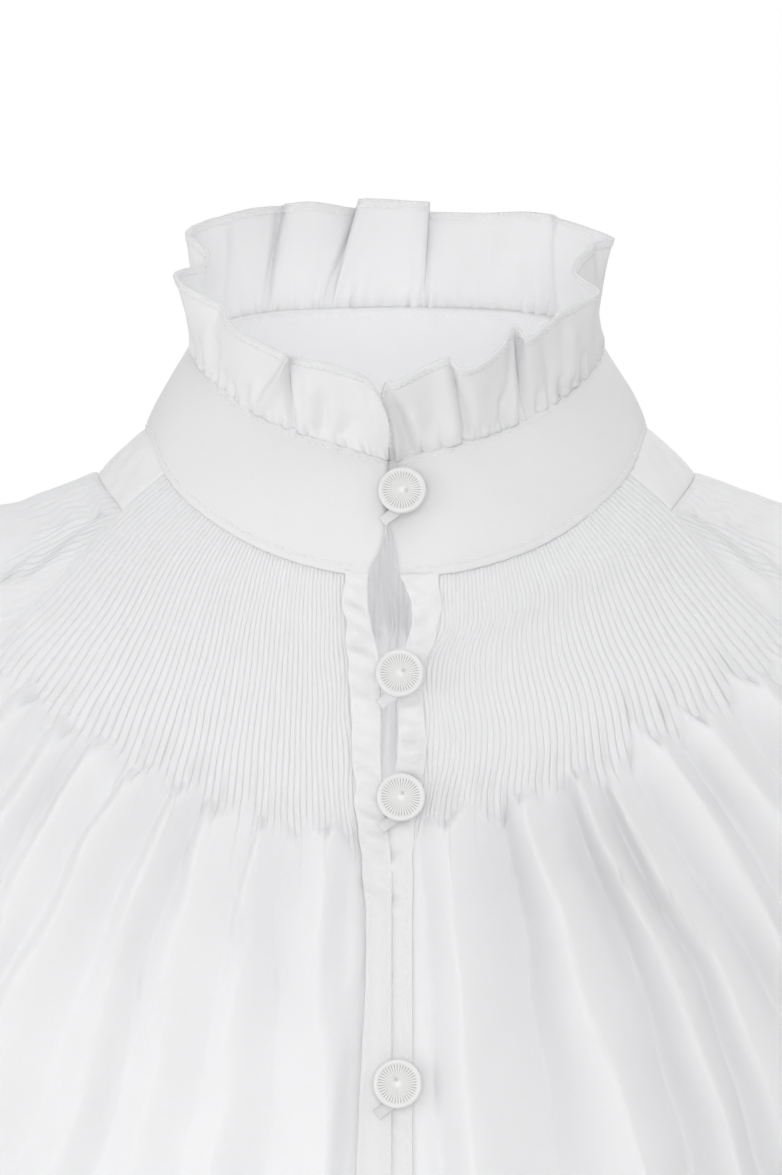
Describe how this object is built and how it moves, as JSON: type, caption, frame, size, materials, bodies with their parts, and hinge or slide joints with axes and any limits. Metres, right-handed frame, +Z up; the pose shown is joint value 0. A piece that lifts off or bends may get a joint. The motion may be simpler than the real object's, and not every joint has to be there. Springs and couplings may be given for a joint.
{
  "type": "dirndl blouse",
  "caption": "High-necked dirndl blouse of white cotton: ruffled stand-up neckband, pin-tucked body, puffed raglan sleeves with narrow cuffs, buttons in loops down the front.",
  "frame": {"origin": "midway between the two points where the shoulder seams meet the neckband, where the wearer's shoulders and neck carry the blouse", "axes": "+X across the blouse towards its right side as seen from the front, +Y towards the back, +Z up along the neck"},
  "size_m": [0.6464, 0.2675, 0.525],
  "materials": {
    "cotton": "matte",
    "button": "satin"
  },
  "bodies": {
    "root": {"back": "cotton", "front_left": "cotton", "front_right": "cotton", "strap_left": "cotton", "strap_right": "cotton", "neckband": "cotton", "ruffle": "cotton", "placket_left": "cotton", "placket_right": "cotton", "sleeve_left": "cotton", "sleeve_right": "cotton", "cuff_left": "cotton", "cuff_right": "cotton", "loop_1": "cotton", "loop_2": "cotton", "loop_3": "cotton", "loop_4": "cotton", "loop_5": "cotton", "loop_6": "cotton", "loop_7": "cotton", "button_1": "button", "button_2": "button", "button_3": "button", "button_4": "button", "button_5": "button", "button_6": "button", "button_7": "button"}
  },
  "joints": []
}
